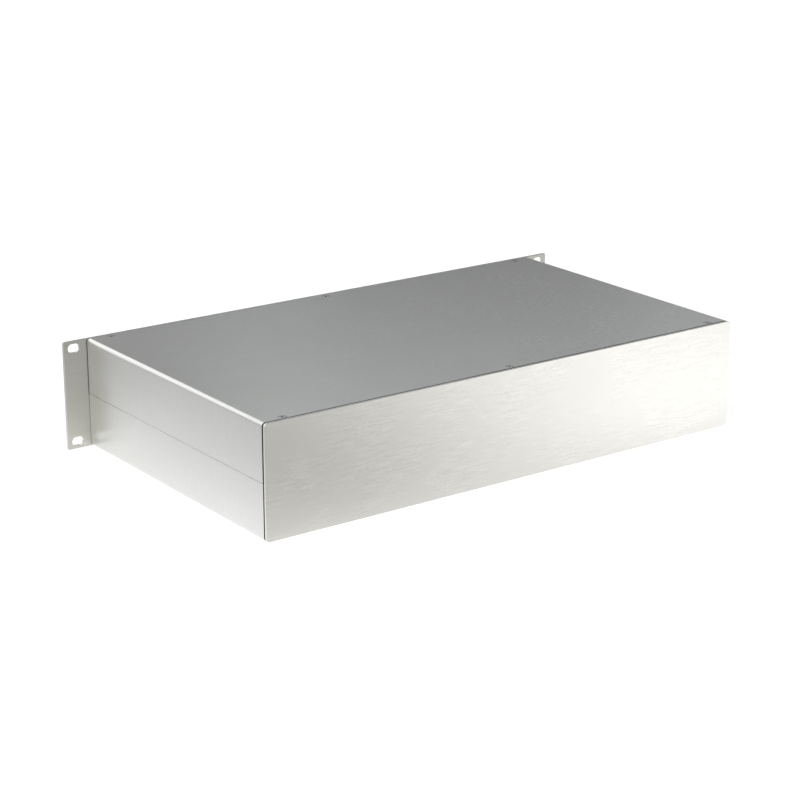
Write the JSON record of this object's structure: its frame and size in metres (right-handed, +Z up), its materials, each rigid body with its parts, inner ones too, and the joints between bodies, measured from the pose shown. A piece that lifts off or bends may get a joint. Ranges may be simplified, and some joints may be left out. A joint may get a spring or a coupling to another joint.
{
  "type": "rack mount case",
  "caption": "Low, wide aluminium instrument case for a 19 inch rack: slotted front panel ears, folded top and bottom covers, flat rear panel.",
  "frame": {"origin": "middle of the case's outline, on the surface that it stands on", "axes": "+X to the right seen from the front, +Y from the front panel to the rear panel, +Z up"},
  "size_m": [0.4826, 0.26, 0.0881],
  "materials": {
    "front_panel": "fine brushed, natural anodised",
    "rear_panel": "fine brushed, natural anodised",
    "cover": "satin rolled sheet",
    "rail": "as extruded",
    "screw": "bright zinc plated",
    "hardware": "zinc plated"
  },
  "bodies": {
    "root": {"front_panel": "front_panel", "rear_panel": "rear_panel", "top_cover": "cover", "bottom_cover": "cover", "front_top_rail": "rail", "front_bottom_rail": "rail", "rear_top_rail": "rail", "rear_bottom_rail": "rail", "front_panel_studs": "hardware", "rear_panel_studs": "hardware", "front_top_washers": "hardware", "front_bottom_washers": "hardware", "rear_top_washers": "hardware", "rear_bottom_washers": "hardware", "front_top_nuts": "hardware", "front_bottom_nuts": "hardware", "rear_top_nuts": "hardware", "rear_bottom_nuts": "hardware", "front_top_screws": "screw", "front_bottom_screws": "screw", "rear_top_screws": "screw", "rear_bottom_screws": "screw"}
  },
  "joints": []
}
